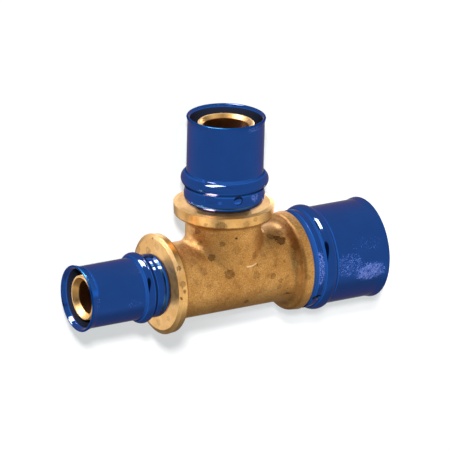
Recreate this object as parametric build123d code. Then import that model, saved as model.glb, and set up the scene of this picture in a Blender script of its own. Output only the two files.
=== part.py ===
from build123d import *
import math
import os

# Reducing press tee for multilayer pipe, in millimetres.
# The run lies along X: the small port points to -X, the large port to +X.
# The branch points to +Y. The tee lies on its side, so +Z is the side of the
# body that is seen from above, and the part rests on its flanges and on the
# bead of the large sleeve.
# Each arm is drawn in its own half section (r, s): r is the radius from the
# arm's axis and s the distance from the point where the three axes cross.

# ---------------------------------------------------------------- dimensions
RUN_BARREL_R = 13.5  # forged run barrel
BRANCH_BARREL_R = 13.4  # forged branch barrel, a shade slimmer than the run
SADDLE_FILLET_R = 3.0  # valley where the branch meets the run
FLANGE_BEVEL_R = 1.6  # radial width of the turned bevel on each flange face

# One row for each port. Radii and stations are in the arm's half section.
PORTS = {
    "branch": dict(
        pipe_od=25.0, pipe_wall=2.5,
        face_s=26.60, front_r=17.75, front_s=26.20, rim_back_r=17.45, rim_back_s=22.60, rim_edge_r=0.4, back_fillet_r=3.0, barrel_r=BRANCH_BARREL_R,
        spigot_r=9.85, tip_s=55.76, tip_ring_w=0.80, bore_r=7.97, bore_edge_s=54.44,
        sleeve_wall=0.90, body_r=13.50, lip_r=13.86, lip_s=58.10, flare_s=56.20,
        bead_s=35.36, bead_peak_r=15.40, bead_arc_r=2.45, foot_fillet_r=0.55,
        groove_r=13.95, skirt_r=14.21, skirt_top_s=30.20, groove_s=31.20, bottom_s=26.85, corner_r=2.2,
        window_s=31.50, window_turn=-9.8,
    ),
    "small": dict(
        pipe_od=20.0, pipe_wall=2.0,
        face_s=26.70, front_r=17.80, front_s=26.00, rim_back_r=17.60, rim_back_s=23.90, rim_edge_r=0.4, back_fillet_r=3.0, barrel_r=RUN_BARREL_R,
        spigot_r=7.85, tip_s=56.20, tip_ring_w=0.75, bore_r=5.83, bore_edge_s=54.16,
        sleeve_wall=0.90, body_r=10.99, lip_r=11.74, lip_s=58.40, flare_s=55.40,
        bead_s=34.44, bead_peak_r=12.56, bead_arc_r=1.95, foot_fillet_r=0.50,
        groove_r=11.08, skirt_r=11.24, skirt_top_s=30.00, groove_s=31.00, bottom_s=26.95, corner_r=1.7,
        window_s=30.50, window_turn=84.7,
    ),
    "large": dict(
        pipe_od=32.0, pipe_wall=3.0,
        face_s=27.60, front_r=17.65, front_s=27.20, rim_back_r=17.40, rim_back_s=24.90, rim_edge_r=1.7, back_fillet_r=4.0, barrel_r=RUN_BARREL_R,
        spigot_r=12.85, tip_s=55.90, tip_ring_w=0.85, bore_r=10.60, bore_edge_s=54.30,
        sleeve_wall=1.10, body_r=17.41, lip_r=17.98, lip_s=58.40, flare_s=55.50,
        bead_s=34.56, bead_peak_r=18.78, bead_arc_r=2.60, foot_fillet_r=0.60,
        groove_r=17.42, skirt_r=17.52, skirt_top_s=30.40, groove_s=31.40, bottom_s=27.85, corner_r=2.2,
        window_s=30.50, window_turn=-35.0,
    ),
}
# rim_edge_r rounds the back edge of the flange rim; on the large port it is so
# wide that it runs straight into the fillet of the barrel.
# window_turn is the angle of the window about the arm's axis, from straight
# up (+Z) towards +X on the branch and towards +Y on the two run arms.

# Seal grooves and barbs on each spigot, all below the spigot's own surface.
RING_TOP_GAP = 3.9  # the isolating ring reaches this far past the flange face
GROOVE_W = 1.70  # width of each O-ring groove
SEAL_CORD = {"branch": 1.20, "small": 1.20, "large": 1.50}
SEAL_PROUD = 0.14  # how far an O-ring stands above the spigot before pressing
BARB_PITCH = 2.0
BARB_DEPTH = 0.45
INNER_BARBS_S = 33.6  # two barbs near the flange
INNER_SEAL_S = 40.4  # middle of the first O-ring groove
OUTER_SEAL_S = 46.7  # middle of the second O-ring groove
OUTER_BARBS_S = 49.2  # two barbs near the tip
TIP_BREAK = 0.25  # broken outer edge of the spigot tip

WINDOW_D = 3.3  # inspection windows, two to a sleeve, opposite each other
HOOK_GAP = 0.08  # play between the sleeve's turned-in bottom and its ring

# The parts are drawn about the crossing of the axes and moved so that the
# origin is at the bottom middle of the whole tee.
TOP_Y = PORTS["branch"]["lip_s"]
LOW_Y = -PORTS["large"]["bead_peak_r"]
REST_Z = PORTS["large"]["bead_peak_r"]
SHIFT = Pos(0, -(TOP_Y + LOW_Y) / 2, REST_Z)


def arm(shape, port):
    """Turn a shape drawn about local Z on to its arm."""
    if port == "branch":
        return Rot(-90, 0, 0) * shape
    return Rot(0, 90 if port == "large" else -90, 0) * shape


def turned(edges):
    """Revolve a closed outline in the XZ plane about Z into a solid."""
    return revolve(make_face(edges), axis=Axis.Z, revolution_arc=360)


def P(r, s, m=1):
    """A half-section point in the XZ plane; m is -1 to mirror the arm."""
    return (r, 0, m * s)


def quarter(center, radius, a0, a1, m=1):
    """Arc in the XZ plane; angles in degrees from +X towards +Z."""
    pts = []
    for a in (a0, (a0 + a1) / 2, a1):
        pts.append(P(center[0] + radius * math.cos(math.radians(a)), center[1] + radius * math.sin(math.radians(a)), m))
    return ThreePointArc(*pts)


def chain(points, m=1):
    """Straight edges through a list of (r, s) points."""
    return [Line(P(*a, m), P(*b, m)) for a, b in zip(points[:-1], points[1:])]


def knee(d):
    """Where the barrel's straight side ends and the flange's fillet begins,
    and the two angles at which the fillet ends and the rim's round starts."""
    f, e, b = d["back_fillet_r"], d["rim_edge_r"], d["barrel_r"]
    gap = b + f - (d["rim_back_r"] - e)
    if gap < -0.01:
        # a flat ring lies between the fillet and the round
        return d["rim_back_s"] - e - f, 90.0, -90.0
    # the fillet runs straight into the round, one arc tangent to the other
    rise = math.sqrt((f + e) ** 2 - gap**2)
    lean = math.degrees(math.atan2(rise, gap))
    return d["rim_back_s"] - rise, 180.0 - lean, -lean


def forged_outline(d, m=1):
    """Outline of one arm of the body, from the end of its barrel up over the
    forged flange and in to the middle of the flange's face."""
    f, rim_e, b = d["back_fillet_r"], d["rim_edge_r"], d["barrel_r"]
    e = []
    # concave fillet from the barrel up to the back of the flange
    fs, fillet_end, round_start = knee(d)
    e.append(quarter((b + f, fs), f, 180, fillet_end, m))
    if fillet_end == 90.0:
        back_s = d["rim_back_s"] - rim_e
        e += chain([(b + f, back_s), (d["rim_back_r"] - rim_e, back_s)], m)
    e.append(quarter((d["rim_back_r"] - rim_e, d["rim_back_s"]), rim_e, round_start, 0, m))
    pts = [
        (d["rim_back_r"], d["rim_back_s"]),
        (d["front_r"], d["front_s"]),
        (d["front_r"] - FLANGE_BEVEL_R, d["face_s"]),
        (0, d["face_s"]),
    ]
    e += chain(pts, m)
    return e


def spigot(port, d):
    """Grooved and barbed tube that carries the pipe, from the flange's face to
    its tip. It is one metal with the body; as a piece of its own it keeps the
    space round it, where the pipe goes, clear of the flange's outline."""
    r = d["spigot_r"]
    depth = SEAL_CORD[port] - SEAL_PROUD
    pts = [(0, d["face_s"]), (r, d["face_s"])]
    # barbs point back towards the flange so the pipe slides on and stays
    s = INNER_BARBS_S
    for _ in range(2):
        pts += [(r, s), (r - BARB_DEPTH, s), (r, s + BARB_PITCH)]
        s += BARB_PITCH
    for mid in (INNER_SEAL_S, OUTER_SEAL_S):
        pts += [(r, mid - GROOVE_W / 2), (r - depth, mid - GROOVE_W / 2), (r - depth, mid + GROOVE_W / 2), (r, mid + GROOVE_W / 2)]
    s = OUTER_BARBS_S
    for _ in range(2):
        pts += [(r, s), (r - BARB_DEPTH, s), (r, s + BARB_PITCH)]
        s += BARB_PITCH
    pts += [(r, d["tip_s"] - TIP_BREAK), (r - TIP_BREAK, d["tip_s"]), (0, d["tip_s"]), (0, d["face_s"])]
    clean = [pts[0]]
    for q in pts[1:]:
        if math.dist(q, clean[-1]) > 1e-6:
            clean.append(q)
    return turned(chain(clean)) - bore_cutter(d, d["face_s"] - 1)


def bore_cutter(d, end_s, end_r=None, cone_len=0.0):
    """Waterway of one arm, with the countersunk mouth at the spigot tip."""
    mouth_r = d["spigot_r"] - d["tip_ring_w"]
    pts = [(0, end_s - cone_len)]
    if end_r is not None:
        pts += [(end_r, end_s - cone_len)]
    pts += [(d["bore_r"], end_s), (d["bore_r"], d["bore_edge_s"]), (mouth_r, d["tip_s"]), (mouth_r, d["tip_s"] + 1), (0, d["tip_s"] + 1), (0, end_s - cone_len)]
    return turned(chain(pts))


def sleeve(port, d):
    """Thin drawn shell: turned-in bottom, skirt, half-round bead, pipe length, flared lip."""
    w = d["sleeve_wall"]
    cr = d["bead_peak_r"] - d["bead_arc_r"]  # centre radius of the bead's arc

    def foot(rad, side):
        """Tangent points of the concave fillet at one foot of the bead."""
        rf, rb = d["foot_fillet_r"], d["bead_arc_r"]
        ds = math.sqrt((rb + rf) ** 2 - (rad + rf - cr) ** 2)
        c = (rad + rf, d["bead_s"] + side * ds)
        v = (cr - c[0], d["bead_s"] - c[1])
        ang = math.degrees(math.atan2(v[1], v[0]))
        return c, ang

    def path(off):
        """One face of the shell, from the bottom to the lip, at depth off."""
        rf, rb = d["foot_fillet_r"] + off, d["bead_arc_r"] - off
        c1, a1 = foot(d["groove_r"], -1)
        c2, a2 = foot(d["body_r"], 1)
        cs = d["corner_r"]
        e = []
        hook_r = d["hook_r"]
        bot = d["bottom_s"] + off
        cc = (d["skirt_r"] - cs, d["bottom_s"] + cs)
        e += chain([(hook_r, bot), (cc[0], bot)])
        e.append(quarter(cc, cs - off, -90, 0))
        e += chain([(d["skirt_r"] - off, cc[1]), (d["skirt_r"] - off, d["skirt_top_s"]), (d["groove_r"] - off, d["groove_s"]), (d["groove_r"] - off, c1[1])])
        e.append(quarter(c1, rf, 180, a1 % 360))
        b0 = math.degrees(math.atan2(c1[1] - d["bead_s"], c1[0] - cr))
        b1 = math.degrees(math.atan2(c2[1] - d["bead_s"], c2[0] - cr))
        e.append(quarter((cr, d["bead_s"]), rb, b0, b1))
        e.append(quarter(c2, rf, a2 % 360, 180))
        t = w / 2
        e += chain([(d["body_r"] - off, c2[1]), (d["body_r"] - off, d["flare_s"]), (d["lip_r"] - off, d["lip_s"] - t)])
        return e

    outer, inner = path(0.0), path(w)
    t = w / 2
    lip = ThreePointArc(P(d["lip_r"], d["lip_s"] - t), P(d["lip_r"] - t, d["lip_s"]), P(d["lip_r"] - w, d["lip_s"] - t))
    hook = Line(P(d["hook_r"], d["bottom_s"]), P(d["hook_r"], d["bottom_s"] + w))
    shell = turned(outer + [lip] + inner + [hook])
    # two inspection windows, opposite each other, drilled straight through
    drill = Cylinder(WINDOW_D / 2, 4 * d["skirt_r"])
    if port == "branch":
        # local -Y is the tee's +Z after the arm is turned
        drill = Rot(0, 0, d["window_turn"]) * (Rot(90, 0, 0) * drill)
    elif port == "large":
        # local -X is the tee's +Z
        drill = Rot(0, 0, -d["window_turn"]) * (Rot(0, 90, 0) * drill)
    else:
        # local +X is the tee's +Z
        drill = Rot(0, 0, d["window_turn"]) * (Rot(0, 90, 0) * drill)
    return shell - Pos(0, 0, d["window_s"]) * drill


def isolating_ring(d):
    """Stepped plastic ring that keeps sleeve and pipe end off the brass."""
    r0 = d["spigot_r"] + 0.03
    neck = d["hook_r"] - HOOK_GAP
    shoulder = d["bottom_s"] + d["sleeve_wall"] + HOOK_GAP
    head = d["skirt_r"] - d["sleeve_wall"] - 0.35
    top = d["face_s"] + RING_TOP_GAP
    low = shoulder
    # the head's lower corner clears the inside of the sleeve's corner
    c = max(0.3, d["corner_r"] - d["sleeve_wall"])
    return turned(chain([(r0, d["face_s"]), (neck, d["face_s"]), (neck, low), (head - c, low), (head, low + c), (head, top), (r0, top), (r0, d["face_s"])]))


def o_ring(port, d, mid_s):
    """One seal, resting on the floor of its groove."""
    cord = SEAL_CORD[port]
    mid_r = d["spigot_r"] + SEAL_PROUD - cord / 2
    return Pos(0, 0, mid_s) * Torus(mid_r + 0.01, cord / 2 - 0.01)


for row in PORTS.values():
    # inner edge of the sleeve's turned-in bottom: it hooks under the ring's head
    row["hook_r"] = row["spigot_r"] + 1.2

# ---------------------------------------------------------------- tee body
small, large, branch = PORTS["small"], PORTS["large"], PORTS["branch"]
# The run is turned in one piece, with its barrel as one unbroken line. Its
# start angle is turned away from the saddle, so that no seam line of a turned
# face crosses the valley that is filleted.
run = turned(
    forged_outline(large)
    + forged_outline(small, -1)
    + chain([(RUN_BARREL_R, -knee(small)[0]), (RUN_BARREL_R, knee(large)[0])])
    + chain([(0, large["face_s"]), (0, -small["face_s"])])
)
run = Rot(180, 0, 0) * arm(Rot(0, 0, 90) * run, "large")
limb = turned(
    forged_outline(branch)
    + chain([(0, branch["face_s"]), (0, 0), (BRANCH_BARREL_R, 0), (BRANCH_BARREL_R, knee(branch)[0])])
)
limb = arm(limb, "branch")
body = run + limb
saddle = []
for e in body.edges():
    bb = e.bounding_box()
    inside = abs(bb.max.X) < 14 and abs(bb.min.X) < 14 and bb.max.Y < 14 and bb.min.Y > 0.5
    if inside:
        print("saddle edge", round(e.length, 2), bb.min, bb.max)
        saddle.append(e)
body = fillet(saddle, SADDLE_FILLET_R)

CONE = (large["bore_r"] - small["bore_r"]) * 0.8
body -= arm(bore_cutter(large, -7.0, small["bore_r"], CONE), "large")
body -= arm(bore_cutter(small, 0.0), "small")
body -= arm(bore_cutter(branch, 0.0), "branch")
nodes = {"tee_body": body}

# ---------------------------------------------------------------- spigots and loose pieces
for port, d in PORTS.items():
    nodes["spigot_" + port] = arm(spigot(port, d), port)
    nodes["press_sleeve_" + port] = arm(sleeve(port, d), port)
    nodes["isolating_ring_" + port] = arm(isolating_ring(d), port)
    nodes["o_ring_" + port + "_inner"] = arm(o_ring(port, d, INNER_SEAL_S), port)
    nodes["o_ring_" + port + "_outer"] = arm(o_ring(port, d, OUTER_SEAL_S), port)

os.makedirs("parts", exist_ok=True)
for name, shape in nodes.items():
    moved = SHIFT * shape
    solids = moved.solids()
    print(name, len(solids), round(sum(s.volume for s in solids), 1), all(s.is_valid for s in solids))
    export_step(moved if len(solids) > 1 else solids[0], "parts/" + name + ".step")
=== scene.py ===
# Reducing press tee: materials, floor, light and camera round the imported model.
# The row frame is in metres: +X along the run towards its large port, +Y along the branch, +Z up off the floor.
# The axes of the run and of the branch cross at CROSSING. Sizes below are in millimetres unless a name ends in _M.
import math

import bpy
from mathutils import Matrix, Vector

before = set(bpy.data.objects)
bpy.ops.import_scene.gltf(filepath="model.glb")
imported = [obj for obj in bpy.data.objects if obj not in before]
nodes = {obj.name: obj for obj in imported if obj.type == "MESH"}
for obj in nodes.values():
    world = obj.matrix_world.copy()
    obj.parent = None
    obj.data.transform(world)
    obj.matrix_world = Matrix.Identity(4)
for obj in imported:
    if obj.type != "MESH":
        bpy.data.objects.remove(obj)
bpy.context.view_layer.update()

MM = 0.001
CROSSING = (0.0, -19.66, 18.78)
scene = bpy.context.scene


# ---------------------------------------------------------------- small helpers to write node maths

class Val:
    """A float socket of a node tree that ordinary arithmetic can be written with."""

    def __init__(self, g, socket):
        self.g, self.s = g, socket

    def _m(self, op, other=None, swap=False):
        n = self.g.t.nodes.new("ShaderNodeMath")
        n.operation = op
        a, b = (other, self) if swap else (self, other)
        self.g.put(n.inputs[0], a)
        if b is not None:
            self.g.put(n.inputs[1], b)
        return Val(self.g, n.outputs[0])

    def __add__(self, o): return self._m("ADD", o)
    def __radd__(self, o): return self._m("ADD", o)
    def __sub__(self, o): return self._m("SUBTRACT", o)
    def __rsub__(self, o): return self._m("SUBTRACT", o, True)
    def __mul__(self, o): return self._m("MULTIPLY", o)
    def __rmul__(self, o): return self._m("MULTIPLY", o)
    def __truediv__(self, o): return self._m("DIVIDE", o)
    def __neg__(self): return self._m("MULTIPLY", -1.0)
    def max(self, o): return self._m("MAXIMUM", o)
    def min(self, o): return self._m("MINIMUM", o)
    def sqrt(self): return self._m("SQRT")
    def abs(self): return self._m("ABSOLUTE")
    def pow(self, o): return self._m("POWER", o)
    def clamp(self): return self.max(0.0).min(1.0)

    def rise(self, a, b):
        """0 below a, 1 above b, smooth between."""
        n = self.g.t.nodes.new("ShaderNodeMapRange")
        n.interpolation_type = "SMOOTHSTEP"
        self.g.put(n.inputs["Value"], self)
        if a <= b:
            n.inputs["From Min"].default_value, n.inputs["From Max"].default_value = a, b
            n.inputs["To Min"].default_value, n.inputs["To Max"].default_value = 0.0, 1.0
        else:
            n.inputs["From Min"].default_value, n.inputs["From Max"].default_value = b, a
            n.inputs["To Min"].default_value, n.inputs["To Max"].default_value = 1.0, 0.0
        return Val(self.g, n.outputs["Result"])


class Vec:
    """A vector socket with the same idea."""

    def __init__(self, g, socket):
        self.g, self.s = g, socket

    def _m(self, op, other=None):
        n = self.g.t.nodes.new("ShaderNodeVectorMath")
        n.operation = op
        self.g.put(n.inputs[0], self)
        if other is not None:
            self.g.put(n.inputs[1], other)
        return n

    def __add__(self, o): return Vec(self.g, self._m("ADD", o).outputs[0])
    def __sub__(self, o): return Vec(self.g, self._m("SUBTRACT", o).outputs[0])
    def __mul__(self, o):
        if isinstance(o, (Val, float, int)):
            n = self.g.t.nodes.new("ShaderNodeVectorMath")
            n.operation = "SCALE"
            self.g.put(n.inputs[0], self)
            self.g.put(n.inputs["Scale"], o)
            return Vec(self.g, n.outputs[0])
        return Vec(self.g, self._m("MULTIPLY", o).outputs[0])
    def cross(self, o): return Vec(self.g, self._m("CROSS_PRODUCT", o).outputs[0])
    def dot(self, o): return Val(self.g, self._m("DOT_PRODUCT", o).outputs["Value"])
    def length(self): return Val(self.g, self._m("LENGTH").outputs["Value"])
    def distance(self, o): return Val(self.g, self._m("DISTANCE", o).outputs["Value"])
    def unit(self): return Vec(self.g, self._m("NORMALIZE").outputs[0])

    def parts(self):
        n = self.g.t.nodes.new("ShaderNodeSeparateXYZ")
        self.g.put(n.inputs[0], self)
        return [Val(self.g, n.outputs[i]) for i in range(3)]


class Graph:
    """Makes the nodes of one material or world."""

    def __init__(self, tree):
        self.t = tree

    def put(self, socket, value):
        if isinstance(value, (Val, Vec)):
            self.t.links.new(value.s, socket)
        elif hasattr(value, "is_linked"):
            self.t.links.new(value, socket)
        else:
            socket.default_value = value

    def vec(self, x, y, z):
        n = self.t.nodes.new("ShaderNodeCombineXYZ")
        for i, v in enumerate((x, y, z)):
            self.put(n.inputs[i], v)
        return Vec(self, n.outputs[0])

    def place(self):
        """The point on the surface in millimetres of the row frame."""
        n = self.t.nodes.new("ShaderNodeTexCoord")
        return Vec(self, n.outputs["Object"]) * 1000.0

    def normal(self):
        n = self.t.nodes.new("ShaderNodeNewGeometry")
        return Vec(self, n.outputs["Normal"])

    def noise(self, vector, scale, detail=2.0, rough=0.5, distortion=0.0, dims="3D"):
        n = self.t.nodes.new("ShaderNodeTexNoise")
        n.noise_dimensions = dims
        if dims == "1D":
            self.put(n.inputs["W"], vector)
        else:
            self.put(n.inputs["Vector"], vector)
        n.inputs["Scale"].default_value = scale
        n.inputs["Detail"].default_value = detail
        n.inputs["Roughness"].default_value = rough
        n.inputs["Distortion"].default_value = distortion
        return Val(self, n.outputs[0])

    def cells(self, vector, scale, random=1.0, feature="F1"):
        n = self.t.nodes.new("ShaderNodeTexVoronoi")
        n.feature = feature
        self.put(n.inputs["Vector"], vector)
        n.inputs["Scale"].default_value = scale
        n.inputs["Randomness"].default_value = random
        return Val(self, n.outputs["Distance"])

    def mix(self, fac, a, b, kind="MIX"):
        """Between two colours."""
        n = self.t.nodes.new("ShaderNodeMix")
        n.data_type = "RGBA"
        n.blend_type = kind
        n.clamp_factor = True
        self.put(n.inputs[0], fac)
        for i, c in ((6, a), (7, b)):
            self.put(n.inputs[i], (*c, 1.0) if isinstance(c, tuple) and len(c) == 3 else c)
        return n.outputs[2]

    def blend(self, fac, a, b):
        """Between two numbers."""
        n = self.t.nodes.new("ShaderNodeMix")
        n.data_type = "FLOAT"
        self.put(n.inputs[0], fac)
        self.put(n.inputs[2], a)
        self.put(n.inputs[3], b)
        return Val(self, n.outputs[0])

    def bump(self, height, distance_mm, strength=1.0, normal=None):
        n = self.t.nodes.new("ShaderNodeBump")
        self.put(n.inputs["Height"], height)
        n.inputs["Distance"].default_value = distance_mm * MM
        self.put(n.inputs["Strength"], strength)
        if normal is not None:
            self.put(n.inputs["Normal"], normal)
        return Vec(self, n.outputs[0])


def material(name):
    m = bpy.data.materials.new(name)
    m.use_nodes = True
    g = Graph(m.node_tree)
    p = next(n for n in m.node_tree.nodes if n.type == "BSDF_PRINCIPLED")
    return m, g, p


def around(vals, kind="max"):
    out = vals[0]
    for v in vals[1:]:
        out = out.max(v) if kind == "max" else out + v
    return out


# ---------------------------------------------------------------- forged brass

# Brown process stains: place on the surface, radius, and kind ("blot" filled, "ring" a drying edge, "dot" small and dark).
STAINS = [
    ((-12.79, -1.04, 22.74), 1.05, "blot", 0.55),
    ((-2.42, -2.31, 31.95), 0.45, "dot", 0.9),
    ((-6.98, -4.35, 30.21), 0.9, "blot", 0.5),
    ((-10.08, -9.34, 28.16), 1.05, "blot", 0.6),
    ((-2.30, -6.77, 31.97), 1.5, "ring", 0.25),
    ((-4.66, -15.42, 31.60), 1.5, "blot", 0.5),
    ((-14.57, -13.00, 30.52), 1.25, "ring", 0.24),
    ((-5.11, -24.37, 31.42), 0.6, "blot", 0.3),
    ((3.72, -27.60, 29.68), 0.9, "blot", 0.6),
    ((5.73, -10.33, 30.89), 1.2, "blot", 0.25),
    ((6.05, -17.45, 32.09), 1.15, "blot", 0.32),
    ((-16.71, -7.32, 24.24), 1.1, "ring", 0.25),
    ((-17.16, -9.73, 27.91), 1.0, "blot", 0.2),
    ((-12.47, -4.48, 23.73), 0.9, "blot", 0.25),
    ((16.19, -7.25, 24.07), 1.25, "ring", 0.6),
    ((17.77, -7.62, 24.87), 0.8, "blot", 0.75),
    ((18.99, -8.47, 26.30), 1.5, "blot", 0.7),
    ((20.90, -6.50, 23.01), 1.6, "blot", 0.3),
    ((22.99, -4.29, 22.81), 0.6, "dot", 0.4),
    ((12.92, -18.93, 32.26), 0.95, "blot", 0.42),
    ((15.87, -20.95, 32.21), 0.8, "blot", 0.34),
    ((15.81, -23.34, 31.76), 0.8, "blot", 0.3),
    ((19.87, -27.27, 29.98), 0.7, "dot", 0.6),
    ((19.26, -27.65, 29.64), 0.4, "dot", 0.55),
    ((20.92, -27.35, 30.28), 0.4, "dot", 0.5),
    ((19.44, -24.89, 31.23), 0.3, "dot", 0.5),
    ((17.87, -14.49, 31.25), 0.5, "dot", 0.3),
    ((14.05, -15.25, 31.53), 0.4, "dot", 0.25),
    ((7.01, -13.88, 30.97), 0.45, "dot", 0.4),
    ((15.09, -11.59, 29.59), 0.9, "ring", 0.2),
    ((24.86, -19.98, 36.26), 1.0, "blot", 0.3),
    ((-9.52, 3.81, 33.48), 1.7, "ring", 0.5),
    ((-9.30, 3.75, 33.48), 0.75, "blot", 0.5),
    ((-13.73, 3.98, 29.67), 0.7, "dot", 0.25),
    ((-1.13, 4.09, 36.28), 1.1, "ring", 0.25),
    ((2.48, 5.34, 36.25), 0.8, "blot", 0.3),
    ((-26.70, -10.86, 5.26), 1.6, "blot", 0.4),
    ((-26.70, -9.26, 12.30), 1.2, "ring", 0.45),
    ((-26.67, -3.73, 15.56), 0.5, "dot", 0.5),
    ((-26.70, -5.71, 18.51), 1.3, "blot", 0.2),
    ((-26.07, -9.13, 32.93), 0.8, "blot", 0.6),
    ((-25.94, -14.14, 35.69), 1.0, "blot", 0.45),
    ((-25.40, -16.63, 36.26), 0.7, "dot", 0.5),
    ((-26.31, -19.20, 35.86), 0.6, "dot", 0.6),
    ((-26.70, -33.18, 21.03), 1.2, "ring", 0.3),
    ((-26.70, -29.31, 27.91), 0.9, "blot", 0.25),
    ((-13.79, -18.14, 32.19), 0.5, "dot", 0.25),
    ((-0.66, -11.44, 32.16), 0.9, "blot", 0.18),
    ((8.94, -23.70, 31.66), 0.9, "ring", 0.2),
    ((22.72, -9.60, 30.38), 1.3, "blot", 0.22),
    ((22.72, -14.95, 33.41), 1.0, "blot", 0.25),
]


def brass():
    m, g, p = material("tee_forged_brass")
    P = g.place()
    Q = P - CROSSING
    x, y, z = Q.parts()
    r_run = (y * y + z * z).sqrt()
    r_branch = (x * x + z * z).sqrt()
    warp = g.noise(P, 0.9, 2.0) * 0.5 - 0.25

    # turned metal: the rims of two flanges, all three faces, the spigots and the bores; the rest keeps its forged skin
    turned = around([(y + warp).rise(22.75, 22.95), (-x + warp).rise(24.05, 24.25), x.rise(27.15, 27.35)])
    bore = around([r_branch.rise(8.15, 8.0) * y.rise(-0.6, -0.1), r_run.rise(5.95, 5.85) * x.rise(-9.0, -9.2),
                   r_run.rise(10.8, 10.65) * x.rise(-9.2, -9.0)])
    turned = turned.max(bore)
    on_branch = y.rise(20.0, 20.1)

    # colour of the forged skin: large warm drifts, small tarnish, and the grain of the blasted surface
    drift = g.noise(P, 0.085, 3.0, 0.55)
    cloud = g.noise(P, 0.30, 4.0, 0.62, 0.4)
    grain = g.noise(P, 1.25, 3.0, 0.62)
    fine = g.noise(P, 3.4, 2.0, 0.6)
    skin = g.mix(drift.rise(0.36, 0.66), (0.67, 0.335, 0.088), (0.81, 0.445, 0.135))
    skin = g.mix(cloud.rise(0.54, 0.70) * 0.52, skin, (0.42, 0.192, 0.053))
    skin = g.mix(cloud.rise(0.44, 0.26) * 0.45, skin, (0.86, 0.56, 0.24))
    skin = g.mix(grain.rise(0.54, 0.72) * 0.34, skin, (0.98, 0.66, 0.30))
    skin = g.mix(grain.rise(0.46, 0.28) * 0.40, skin, (0.36, 0.155, 0.040))
    skin = g.mix(fine.rise(0.53, 0.37) * 0.56, skin, (0.34, 0.15, 0.042))
    skin = g.mix(fine.rise(0.58, 0.68) * 0.50, skin, (1.0, 0.72, 0.36))

    # painted shade: the hollows behind the flanges are painted a darker brown
    hollow_shade = around([r_run.rise(13.5, 14.8) * x.rise(15.5, 19.5) * x.rise(25.4, 23.6), r_run.rise(13.5, 14.4) * (-x).rise(17.5, 20.5) * (-x).rise(24.3, 23.6) * 0.9,
                     r_branch.rise(13.4, 14.2) * y.rise(18.5, 20.5) * y.rise(23.2, 22.7) * 0.8])
    skin = g.mix(hollow_shade * (0.60 + (cloud - 0.5) * 0.8), skin, (0.30, 0.125, 0.030))

    bright = g.mix(g.noise(P, 0.2, 3.0).rise(0.35, 0.7), (0.80, 0.455, 0.150), (0.93, 0.58, 0.225))
    bright = g.mix(g.noise(P, 0.75, 3.0, 0.6).rise(0.60, 0.75) * 0.35, bright, (0.55, 0.28, 0.09))
    bright = g.mix(fine.rise(0.60, 0.42) * 0.18, bright, (0.40, 0.19, 0.06))
    # painted shade: the bores are painted a darker brown
    bright = g.mix(bore, bright, (0.40, 0.16, 0.055))
    # painted shade: the lands of the spigots under the sleeves are painted dark navy, a painted shade with a painted
    # blue reflection, and a painted brown line of shade follows the foot of each sleeve
    land_shade = around([r_branch.rise(9.2, 9.35) * y.rise(26.7, 26.8) * y.rise(38.0, 36.0), r_run.rise(7.2, 7.35) * (-x).rise(26.8, 26.9) * (-x).rise(38.0, 36.0),
                     r_run.rise(12.2, 12.35) * x.rise(27.7, 27.8) * x.rise(38.0, 36.0)])
    foot_shade = around([r_branch.rise(13.6, 12.7) * y.rise(26.3, 26.5) * y.rise(26.8, 26.7), r_run.rise(11.0, 10.2) * (-x).rise(26.4, 26.6) * (-x).rise(26.9, 26.8)])
    bright = g.mix(foot_shade * (0.60 + g.noise(P, 1.1, 3.0) * 0.6), bright, (0.20, 0.055, 0.014))
    bright = g.mix(land_shade, bright, (0.012, 0.022, 0.060))
    colour = g.mix(turned.max(land_shade), skin, bright)

    # stains
    edge = g.noise(P, 0.95, 4.0, 0.62, 1.2) - 0.5
    fills, rings = [], []
    for (cx, cy, cz), radius, kind, depth in STAINS:
        d = P.distance((cx, cy, cz)) + edge * (radius * 2.6)
        if kind == "ring":
            rings.append(d.rise(radius * 0.50, radius * 0.90) * d.rise(radius * 1.20, radius * 0.98) * depth * (edge.rise(-0.12, 0.06) * 0.6 + 0.4))
            fills.append(d.rise(radius, radius * 0.6) * (depth * 0.42))
        elif kind == "dot":
            fills.append(d.rise(radius * 1.25, radius * 0.55) * depth)
        else:
            fills.append(d.rise(radius * 1.10, radius * 0.80) * (depth * 0.66))
            rings.append(d.rise(radius * 0.72, radius * 0.96) * d.rise(radius * 1.20, radius * 1.02) * (depth * 1.05))
    # more of them, scattered over the side that turns away
    spots = (g.cells(P, 0.17) + edge * 0.22)
    some = g.noise(P, 0.075, 2.0).rise(0.46, 0.60) * z.rise(-1.0, -5.0)
    fills.append(spots.rise(0.20, 0.14) * some * 0.34)
    rings.append(spots.rise(0.13, 0.18) * spots.rise(0.23, 0.19) * some * 0.30)
    stain = around(fills + rings).clamp()
    colour = g.mix((stain * 1.45).clamp(), colour, (0.15, 0.058, 0.018))
    # one pale scratch near the foot of the branch
    a, b, w = (2.3, -13.95, 32.0), (6.7, -13.75, 31.0), 0.26
    line = tuple(q - o for q, o in zip(b, a))
    size = sum(c * c for c in line)
    t = ((P - a).dot(line) * (1.0 / size)).clamp()
    bow = (t - 0.5).pow(2.0) * 1.6
    scratch = ((P - a) - g.vec(t * line[0], t * line[1] + bow, t * line[2])).length().rise(w * 1.6, w * 0.5)
    colour = g.mix(scratch * 0.75, colour, (1.0, 0.80, 0.50))
    g.put(p.inputs["Base Color"], colour)

    rough = g.blend(turned, 0.50 + (cloud - 0.5) * 0.22 + (grain - 0.5) * 0.16, 0.34 + (g.noise(P, 0.5, 3.0) - 0.5) * 0.16)
    rough = rough + stain * 0.12 - scratch * 0.12
    g.put(p.inputs["Roughness"], rough)
    p.inputs["Metallic"].default_value = 1.0

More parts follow.
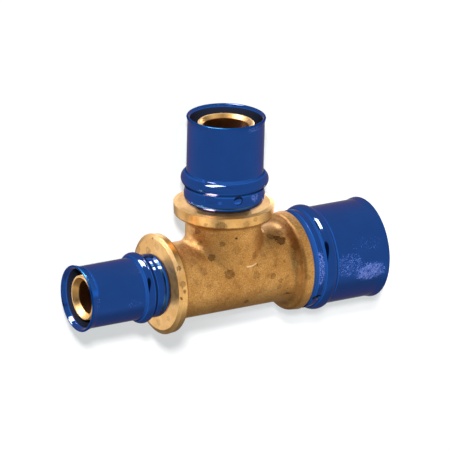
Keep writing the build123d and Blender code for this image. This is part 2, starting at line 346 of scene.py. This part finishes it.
    # relief: dimples and sand grain on the skin, tool marks round each axis on the turned metal
    relief = g.noise(P, 0.45, 2.0, 0.5) * 1.1 + grain * 0.40 + fine * 0.16
    n0 = g.bump(relief, 0.16, g.blend(turned, 1.0, 0.12))
    axis = g.vec(1.0 - on_branch, on_branch, 0.0)
    along = Q.dot(axis)
    radial = (Q - axis * along)
    radius = radial.length()
    across = axis.cross(radial.unit())
    meridian = across.cross(n0).unit()
    mark = g.noise(along * 1.0 + radius * 1.618, 4.2, 3.0, 0.7, dims="1D") - 0.5
    n1 = (n0 + meridian * (mark * turned * 0.55)).unit()
    g.put(p.inputs["Normal"], n1)
    return m


# ---------------------------------------------------------------- blue coating

# Rubbed, slightly milky places of the coating: middle, half sizes along the row axes, strength.
RUBS = [
    ((50.5, -22.0, 36.2), (9.0, 5.0, 5.0), 1.0), ((42.0, -18.5, 36.0), (9.0, 6.5, 5.0), 0.75), ((50.0, -12.0, 34.9), (10.0, 4.5, 5.0), 0.55),
    ((30.0, -17.5, 36.0), (2.6, 10.0, 6.0), 0.9), ((36.2, -13.0, 34.5), (1.6, 6.0, 6.0), 0.35),
    ((4.0, 36.9, 31.8), (5.0, 1.6, 5.0), 0.8), ((4.6, 11.9, 32.0), (2.8, 2.2, 4.0), 0.9), ((7.5, 33.0, 30.0), (3.0, 2.0, 4.0), 0.35),
    ((-56.0, -17.5, 29.6), (1.6, 5.0, 4.0), 0.6), ((-41.5, -20.5, 29.7), (5.0, 2.6, 4.0), 0.6), ((-49.0, -22.0, 29.5), (4.0, 1.8, 4.0), 0.3),
]


def blue():
    m, g, p = material("tee_blue_coating")
    P = g.place()
    Q = P - CROSSING
    x, y, z = Q.parts()
    r_run = (y * y + z * z).sqrt()
    r_branch = (x * x + z * z).sqrt()
    drift = g.noise(P, 0.12, 2.0, 0.5)
    mottle = g.noise(P, 0.9, 3.0, 0.65)
    speck = g.noise(P, 2.2, 3.0, 0.7)
    colour = g.mix(drift.rise(0.3, 0.7), (0.0040, 0.158, 0.79), (0.0055, 0.175, 0.86))
    colour = g.mix(speck.rise(0.58, 0.75) * 0.20, colour, (0.004, 0.10, 0.52))

    # rubbed places, and a few more of them scattered round the sides that turn away
    rubs = []
    for mid, (sx, sy, sz), depth in RUBS:
        d = (P - mid) * (1.0 / sx, 1.0 / sy, 1.0 / sz)
        rubs.append(d.length().rise(1.15, 0.45) * depth)
    far = g.noise(P, 0.10, 2.0, 0.5).rise(0.56, 0.66) * z.rise(2.0, -6.0) * 0.6
    scuff = g.noise(P, 3.6, 2.0, 0.6)
    rub = (around(rubs + [far]) * (0.35 + mottle * 1.1)).clamp()
    fleck = (rub * 0.55 + scuff - 0.90).rise(0.0, 0.17)
    colour = g.mix(fleck, colour, (0.115, 0.150, 0.39))

    # painted shade: the wall inside each mouth is painted near black, with no coat and a rough finish
    inner_shade = around([(y.rise(20.0, 20.5)) * r_branch.rise(13.15, 13.0) * y.rise(57.3, 56.9),
                    ((-x).rise(24.0, 24.5)) * r_run.rise(10.62, 10.5) * x.rise(-57.0, -56.4),
                    (x.rise(24.0, 24.5)) * r_run.rise(16.95, 16.8) * (-x).rise(-57.3, -56.7)])
    # the walls of the inspection windows get the same painted shade
    def drilled(s, across, station, turn):
        """Inside a window: near the drill's axis, which stands at turn degrees from +Z."""
        a = math.radians(turn)
        off = across * math.cos(a) - z * math.sin(a)
        return ((s - station).pow(2.0) + off * off).sqrt().rise(1.70, 1.64)
    inner_shade = around([inner_shade, drilled(y, x, 31.5, -9.8), drilled(x, y, 30.5, -35.0), drilled(-x, y, 30.5, 84.7)])
    colour = g.mix(inner_shade, colour, (0.011, 0.013, 0.024))
    # the coating is dull in the narrow valleys at the feet of the beads, on the step of the skirt and round its bottom edge
    def band(s, a, b, soft=0.12):
        return s.rise(a - soft, a + soft) * s.rise(b + soft, b - soft)
    tight = around([band(y, 32.45, 34.40, 0.2), band(y, 37.50, 38.40), y.rise(28.35, 27.9) * y.rise(20.0, 20.1),
                    band(-x, 31.90, 33.95, 0.2), band(-x, 36.15, 37.00), (-x).rise(28.8, 28.3) * (-x).rise(20.0, 20.1),
                    band(x, 31.75, 32.50), band(x, 35.95, 37.45, 0.2), x.rise(29.8, 29.2) * x.rise(20.0, 20.1),
                    # and over the back of the small mouth's flare
                    (-x).rise(54.6, 55.6) * (-x).rise(57.75, 57.55) * r_run.rise(10.95, 11.05) * y.rise(3.5, 6.5) * z.rise(-2.5, 0.5)])
    # one stretch of the branch sleeve's foot is polished, in front and to the left
    tight = tight * (1.0 - x.rise(-12.6, -11.8) * x.rise(-9.2, -10.2) * z.rise(5.0, 7.0) * y.rise(20.0, 20.1))
    # painted shade: the groove of the small sleeve is painted a darker blue than the other valleys
    colour = g.mix(tight * 0.97, colour, g.mix(band(-x, 31.60, 33.70, 0.3), (0.0105, 0.040, 0.150), (0.006, 0.016, 0.050)))
    # the film is thin and dull over the outer edge of each lip
    lip = around([y.rise(57.45, 57.75) * r_branch.rise(13.30, 13.45), (-x).rise(57.70, 58.0) * r_run.rise(11.20, 11.35) * r_run.rise(12.4, 12.2),
                  x.rise(57.65, 57.95) * r_run.rise(17.35, 17.50)])
    g.put(p.inputs["Base Color"], colour)
    g.put(p.inputs["Metallic"], (1.0 - inner_shade) * (1.0 - fleck) * (1.0 - tight))
    g.put(p.inputs["Roughness"], 0.06 + (mottle - 0.5) * 0.03 + rub * 0.07 + fleck * 0.30 + inner_shade * 0.40 + lip * 0.26 + tight * 0.30)
    p.inputs["Specular Tint"].default_value = (0.03, 0.16, 0.60, 1.0)
    p.inputs["Specular IOR Level"].default_value = 0.0
    g.put(p.inputs["Coat Weight"], (1.0 - inner_shade) * (1.0 - lip * 0.8) * (1.0 - tight) * (1.0 - fleck * 0.6))
    p.inputs["Coat Roughness"].default_value = 0.09
    p.inputs["Coat IOR"].default_value = 1.55
    peel = g.bump(g.noise(P, 0.40, 1.0, 0.3), 0.02, 0.30)
    g.put(p.inputs["Normal"], peel)
    g.put(p.inputs["Coat Normal"], peel)
    return m


def ring_plastic():
    m, g, p = material("tee_ring_plastic")
    P = g.place()
    cloud = g.noise(P, 0.5, 3.0, 0.5)
    g.put(p.inputs["Base Color"], g.mix(cloud.rise(0.35, 0.7), (0.012, 0.065, 0.27), (0.016, 0.080, 0.33)))
    g.put(p.inputs["Roughness"], 0.62 + (cloud - 0.5) * 0.12)
    g.put(p.inputs["Normal"], g.bump(g.noise(P, 5.0, 2.0), 0.01, 0.4))
    return m


def rubber():
    m, g, p = material("tee_seal_rubber")
    P = g.place()
    cloud = g.noise(P, 1.2, 3.0, 0.5)
    g.put(p.inputs["Base Color"], g.mix(cloud.rise(0.35, 0.7), (0.010, 0.010, 0.011), (0.022, 0.022, 0.023)))
    g.put(p.inputs["Roughness"], 0.48 + (cloud - 0.5) * 0.16)
    g.put(p.inputs["Normal"], g.bump(g.noise(P, 7.0, 2.0), 0.01, 0.4))
    return m


brass_finish, blue_finish, plastic_finish, rubber_finish = brass(), blue(), ring_plastic(), rubber()
finishes = {}
for name in nodes:
    if name == "tee_body" or name.startswith("spigot"):
        finishes[name] = brass_finish
    elif name.startswith("press_sleeve"):
        finishes[name] = blue_finish
    elif name.startswith("isolating_ring"):
        finishes[name] = plastic_finish
    elif name.startswith("o_ring"):
        finishes[name] = rubber_finish
for name, ob in nodes.items():
    if name != "tee_body" and not name.startswith("spigot"):
        ob.visible_glossy = False
    ob.data.materials.clear()
    ob.data.materials.append(finishes[name])

# ---------------------------------------------------------------- camera: the photograph's view, measured from the object

RIGHT = Vector((0.86303, 0.02437, 0.50458)).normalized()
UP = Vector((0.15389, 0.93868, -0.30855))
UP = (UP - RIGHT * UP.dot(RIGHT)).normalized()
BACK = RIGHT.cross(UP).normalized()
TARGET_M = (Vector(CROSSING) + RIGHT * 0.983 + UP * 16.548) * MM
DISTANCE_M = 1.87897
cam_data = bpy.data.cameras.new("camera")
cam_data.sensor_width = 36.0
cam_data.lens = 5352.59 / 450.0 * 36.0
cam_data.clip_start, cam_data.clip_end = 0.05, 100.0
cam = bpy.data.objects.new("camera", cam_data)
scene.collection.objects.link(cam)
axes = Matrix((RIGHT, UP, BACK)).transposed()
cam.matrix_world = Matrix.Translation(TARGET_M + BACK * DISTANCE_M) @ axes.to_4x4()
scene.camera = cam


def seen(right, up, back):
    """A direction given the way the photograph shows it, turned into the row frame."""
    return (RIGHT * right + UP * up + BACK * back).normalized()


# ---------------------------------------------------------------- floor: the plane that the tee's three lowest points touch

A, B, D = Vector((34.56, -19.66, 0.0)), Vector((-26.0, -19.66, 0.98)), Vector((0.0, 6.54, 1.03))
floor_up = (B - A).cross(D - A).normalized()
if floor_up.z < 0:
    floor_up.negate()
floor_mesh = bpy.data.meshes.new("floor")
H = 12.0
centre = (A + B + D) / 3 * MM - floor_up * 0.00002
u = floor_up.cross(Vector((0, 1, 0))).normalized()
v = floor_up.cross(u)
floor_mesh.from_pydata([centre + (u * a + v * b) * H for a, b in ((-1, -1), (1, -1), (1, 1), (-1, 1))], [], [(0, 1, 2, 3)])
floor = bpy.data.objects.new("floor", floor_mesh)
scene.collection.objects.link(floor)
fm, fg, fp = material("floor_white")
fp.inputs["Base Color"].default_value = (0.30, 0.30, 0.30, 1.0)
fp.inputs["Roughness"].default_value = 1.0
fp.inputs["Specular IOR Level"].default_value = 0.0
fp.inputs["Emission Color"].default_value = (0.955, 0.99, 1.0, 1.0)
fp.inputs["Emission Strength"].default_value = 0.575
floor_mesh.materials.append(fm)
floor.visible_glossy = False
floor.visible_diffuse = False
floor.visible_shadow = False

# ---------------------------------------------------------------- world: an even grey surround with a dark gap round the camera

world = bpy.data.worlds.new("studio")
scene.world = world
world.use_nodes = True
wt = world.node_tree
wt.nodes.clear()
wg = Graph(wt)
coord = wt.nodes.new("ShaderNodeTexCoord")
way = Vec(wg, coord.outputs["Generated"])
wr, wu, wb = (way.dot(tuple(a)) for a in (RIGHT, UP, BACK))
BASE = 0.268
# the dark gap: a long slot whose middle is close to the camera
slot_mid, slot_along = Vector((-0.40, 0.02, 0.92)).normalized(), Vector((0.80, 0.42, 0.34))
slot_along = (slot_along - slot_mid * slot_along.dot(slot_mid)).normalized()
slot_across = slot_mid.cross(slot_along)


def mixed(axis):
    return wr * axis[0] + wu * axis[1] + wb * axis[2]


sa, sc, sm = mixed(slot_along), mixed(slot_across), mixed(slot_mid)
gap = ((sa / 0.72).pow(2.0) + (sc / 0.24).pow(2.0)).sqrt().rise(1.15, 0.8) * sm.rise(0.0, 0.1)
low = (wu * -0.80 + wb * -0.60).rise(0.45, 0.85)
env = (1.0 - gap * 0.90) * (1.0 - low * 0.40) * BASE
path = wt.nodes.new("ShaderNodeLightPath")
bg_env, bg_cam = wt.nodes.new("ShaderNodeBackground"), wt.nodes.new("ShaderNodeBackground")
bg_cam.inputs["Color"].default_value = (1, 1, 1, 1)
bg_cam.inputs["Strength"].default_value = 1.0
bg_env.inputs["Color"].default_value = (1, 1, 1, 1)
wg.put(bg_env.inputs["Strength"], env)
mixer, wout = wt.nodes.new("ShaderNodeMixShader"), wt.nodes.new("ShaderNodeOutputWorld")
wt.links.new(path.outputs["Is Camera Ray"], mixer.inputs[0])
wt.links.new(bg_env.outputs[0], mixer.inputs[1])
wt.links.new(bg_cam.outputs[0], mixer.inputs[2])
wt.links.new(mixer.outputs[0], wout.inputs["Surface"])


# ---------------------------------------------------------------- lamps

def group(name, members):
    c = bpy.data.collections.new(name)
    for o in members:
        c.objects.link(o)
    return c


def panel(name, towards, size, power, distance=1.2, along=None, only=None, colour=(1, 1, 1), about=CROSSING):
    """A soft box that faces the tee from a direction given as the photograph shows it."""
    data = bpy.data.lights.new(name, "AREA")
    data.shape = "RECTANGLE"
    data.size, data.size_y = size
    data.energy = power
    data.color = colour
    ob = bpy.data.objects.new(name, data)
    scene.collection.objects.link(ob)
    w = seen(*towards)
    x_axis = seen(*(along or (1, 0, 0)))
    x_axis = (x_axis - w * x_axis.dot(w)).normalized()
    y_axis = w.cross(x_axis)
    ob.matrix_world = Matrix.Translation(Vector(about) * MM + w * distance) @ Matrix((x_axis, y_axis, w)).transposed().to_4x4()
    ob.visible_camera = False
    ob.visible_diffuse = False
    if only is not None:
        ob.light_linking.receiver_collection = only
    return ob


def sun(name, towards_row, strength, angle):
    data = bpy.data.lights.new(name, "SUN")
    data.energy, data.angle = strength, math.radians(angle)
    ob = bpy.data.objects.new(name, data)
    scene.collection.objects.link(ob)
    ob.rotation_mode = "QUATERNION"
    ob.rotation_quaternion = Vector(towards_row).normalized().to_track_quat("Z", "Y")
    ob.visible_glossy = False
    ob.visible_camera = False
    return ob


def wide(name, towards, radiance, angle, only, colour=(1, 1, 1)):
    """A very wide soft source at infinity, seen only in the gloss of some pieces."""
    data = bpy.data.lights.new(name, "SUN")
    data.angle = math.radians(angle)
    data.energy = radiance * math.pi * math.sin(math.radians(angle / 2)) ** 2
    data.color = colour
    ob = bpy.data.objects.new(name, data)
    scene.collection.objects.link(ob)
    ob.rotation_mode = "QUATERNION"
    ob.rotation_quaternion = seen(*towards).to_track_quat("Z", "Y")
    ob.visible_diffuse = False
    ob.visible_camera = False
    ob.light_linking.receiver_collection = only
    return ob


metal = group("lit_brass", [ob for name, ob in nodes.items() if finishes[name] is brass_finish])
forging = group("body_only", [nodes["tee_body"]])
sleeve = {k: group("lit_" + k, [nodes["press_sleeve_" + k]]) for k in ("branch", "small", "large")}
aside = group("blocks_nothing", [nodes["o_ring_large_outer"]])
# The coating tints what it mirrors blue, so the soft boxes of the sleeves are warm: their highlights come out white, with lilac edges.
WARM = (1.0, 0.33, 0.14)
for name, towards, along, size, power in (
    ("branch", (-0.30, 0.763, 0.573), (0.59, 0.42, -0.32), (0.86, 0.42), 32.0),
    ("small", (-0.47, 0.83, 0.29), (0.90, 0.50, 0.10), (1.45, 0.46), 58.0),
    ("large", (-0.203, 0.880, 0.431), (0.80, 0.30, -0.10), (0.74, 0.56), 36.0),
):
    key = panel("key_" + name, towards, size, power, along=along, only=sleeve[name], colour=WARM)
    key.data.cycles.max_bounces = 0
    key.light_linking.blocker_collection = aside
# fills the dark gap of the surround for the branch sleeve, which mirrors none
fill = panel("fill_branch", (-0.40, 0.02, 0.92), (2.2, 0.72), 0.85, along=(0.80, 0.42, 0.34), only=sleeve["branch"])
fill.data.shape = "ELLIPSE"
fill.data.cycles.max_bounces = 0
fill.light_linking.blocker_collection = aside
glint = panel("glint_branch", (-0.21, -0.85, -0.42), (0.95, 0.50), 20.0, along=(0.08, 0.20, -0.45), only=sleeve["branch"], colour=WARM)
glint.data.cycles.max_bounces = 0
glint.light_linking.blocker_collection = aside
# a small near box over the skirt of the small sleeve
glint = panel("glint_skirt", (0.40, 0.915, -0.055), (0.0085, 0.042), 0.026, distance=0.060, along=tuple(Vector((1, 0, 0)).dot(a) for a in (RIGHT, UP, BACK)),
              only=sleeve["small"], colour=WARM, about=(-30.6, -10.2, 24.8))
glint.data.cycles.max_bounces = 0
glint.light_linking.blocker_collection = aside
# The room as the brass mirrors it: a dozen wide soft sources, direction as the photograph shows it and radiance.
ROOM = [
    ((-0.89, 0.00, -0.45), 0.68),
    ((0.28, -0.85, 0.45), 0.86),
    ((-0.72, -0.53, 0.45), 1.30),
    ((-0.72, 0.53, 0.45), 4.60),
    ((0.89, 0.00, 0.45), 0.50),
    ((0.43, 0.31, -0.85), 3.70),
    ((-0.16, 0.50, -0.85), 0.95),
    ((0.95, -0.31, 0.00), 0.80),
    ((0.59, -0.81, 0.00), 0.24),
    ((0.69, -0.50, 0.53), 0.22),
    ((-0.26, 0.81, 0.53), 1.15),
    ((0.69, 0.50, 0.53), 0.66),
]
for i, (towards, radiance) in enumerate(ROOM):
    lamp = wide("room_%02d" % i, towards, radiance, 44.0, metal, (0.92, 1.0, 1.25) if radiance > 4 else (1.03, 0.98, 0.90))
    lamp.data.cycles.max_bounces = 0
    lamp.light_linking.blocker_collection = forging
for name, towards, along, size, power in (
    ("key_brass", (-0.45, 0.86, 0.0), (0.0, 0.2, 1.0), (1.00, 0.24), 9.0),
    ("fan_small", (-0.97, 0.10, -0.20), (0.0, 1.0, 0.0), (0.30, 0.22), 2.3),
):
    key = panel(name, towards, size, power, along=along, only=metal, colour=(0.88, 1.0, 1.45))
    key.data.cycles.max_bounces = 0
    key.light_linking.blocker_collection = forging
sun("floor_sun", (-0.60, 0.70, 1.0), 6.0, 5.5)

# a second lamp, on the floor beside the large sleeve only, shortens the shadow there
spot_data = bpy.data.lights.new("floor_spot", "SPOT")
spot_data.energy, spot_data.shadow_soft_size = 72.0, 0.04
spot_data.spot_size, spot_data.spot_blend = math.radians(4.2), 0.35
spot = bpy.data.objects.new("floor_spot", spot_data)
scene.collection.objects.link(spot)
spot_way = Vector((-0.60, 0.53, 1.0)).normalized()
spot.location = Vector((0.064, -0.051, 0.0)) + spot_way * 0.8
spot.rotation_mode = "QUATERNION"
spot.rotation_quaternion = spot_way.to_track_quat("Z", "Y")
spot.visible_glossy = False
spot.visible_camera = False
spot.light_linking.receiver_collection = group("floor_only", [floor])

scene.view_settings.view_transform = "Standard"
scene.view_settings.look = "None"
scene.view_settings.exposure = 0.0
scene.view_settings.gamma = 1.0
